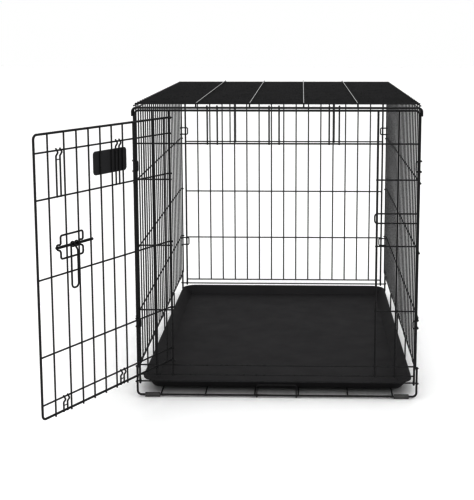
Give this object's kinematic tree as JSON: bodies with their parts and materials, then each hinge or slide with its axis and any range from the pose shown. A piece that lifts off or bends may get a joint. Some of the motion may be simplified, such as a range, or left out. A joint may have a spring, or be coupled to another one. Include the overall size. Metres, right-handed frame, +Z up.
{
  "type": "wire_dog_crate",
  "caption": "Folding wire dog crate with one hinged front door standing open, a slide-bolt latch, a drop-in rear panel, a plastic floor pan and a wire pan stop.",
  "frame": {"origin": "on the floor, at the centre of the crate's footprint", "axes": "+Z up; -Y is the crate's front, where the door is; +Y its rear, along its length; +X to the right seen from the front"},
  "size_m": [0.8522, 1.4998, 0.7466],
  "materials": {
    "wire": "satin black coated steel wire",
    "clip": "satin black coated steel strip",
    "pan_plastic": "matte black moulded plastic",
    "plate_plastic": "plain dark plastic",
    "rubber": "matte black rubber"
  },
  "bodies": {
    "crate": {"base_front_wire": "wire", "base_rear_wire": "wire", "base_cross_wires": "wire", "base_long_wires": "wire", "base_side_rails": "wire", "base_front_hinge_wire": "wire", "base_rear_hinge_wire": "wire", "leg_wraps": "wire", "foot_front_left": "rubber", "foot_front_right": "rubber", "foot_rear_left": "rubber", "foot_rear_right": "rubber", "left_side_frame": "wire", "left_side_uprights": "wire", "left_side_rails": "wire", "right_side_frame": "wire", "right_side_uprights": "wire", "right_side_rails": "wire", "left_bottom_clips": "clip", "right_bottom_clips": "clip", "left_top_clips": "clip", "right_top_clips": "clip", "front_corner_hooks": "wire", "rear_corner_hooks": "wire", "top_front_wire": "wire", "top_rear_wire": "wire", "top_side_rails": "wire", "top_cross_wires": "wire", "top_long_wires": "wire", "front_frame": "wire", "front_posts": "wire", "front_rails": "wire", "front_hinge_curls": "wire", "front_top_hooks": "wire", "latch_receiver": "wire"},
    "door": {"door_frame": "wire", "door_uprights": "wire", "door_rails": "wire", "door_hinge_curls": "wire", "door_upper_hooks": "wire", "door_lower_hooks": "wire", "door_plate": "plate_plastic", "latch_bracket": "wire"},
    "bolt": {"latch_bolt": "wire"},
    "handle": {"latch_handle": "wire"},
    "rear_panel": {"rear_frame": "wire", "rear_uprights": "wire", "rear_rails": "wire", "rear_hinge_curls": "wire", "rear_top_hooks": "wire"},
    "tray": {"pan": "pan_plastic"},
    "stop": {"pan_stop": "wire"}
  },
  "joints": [
    {"name": "door_swing", "type": "hinge", "parent": "crate", "child": "door", "pos_m": [-0.2625, -0.5312, 0.4035], "axis": [0, 0, -1], "range_deg": [-117.5, 47.5]},
    {"name": "bolt_slide", "type": "slide", "parent": "door", "child": "bolt", "axis": [-0.4617, -0.887, 0], "range_m": [-0.007, 0.042]},
    {"name": "handle_lift", "type": "hinge", "parent": "bolt", "child": "handle", "pos_m": [-0.43645, -0.84284, 0.46], "axis": [0.4617, 0.887, 0], "range_deg": [-5, 165]},
    {"name": "rear_fold", "type": "hinge", "parent": "crate", "child": "rear_panel", "pos_m": [0, 0.52705, 0.0395], "axis": [1, 0, 0], "range_deg": [0, 90]},
    {"name": "pan_slide", "type": "slide", "parent": "crate", "child": "tray", "axis": [0, -1, 0], "range_m": [0, 0.02]},
    {"name": "stop_flip", "type": "hinge", "parent": "crate", "child": "stop", "pos_m": [0, -0.5308, 0.0052], "axis": [1, 0, 0], "range_deg": [0, 88]}
  ]
}
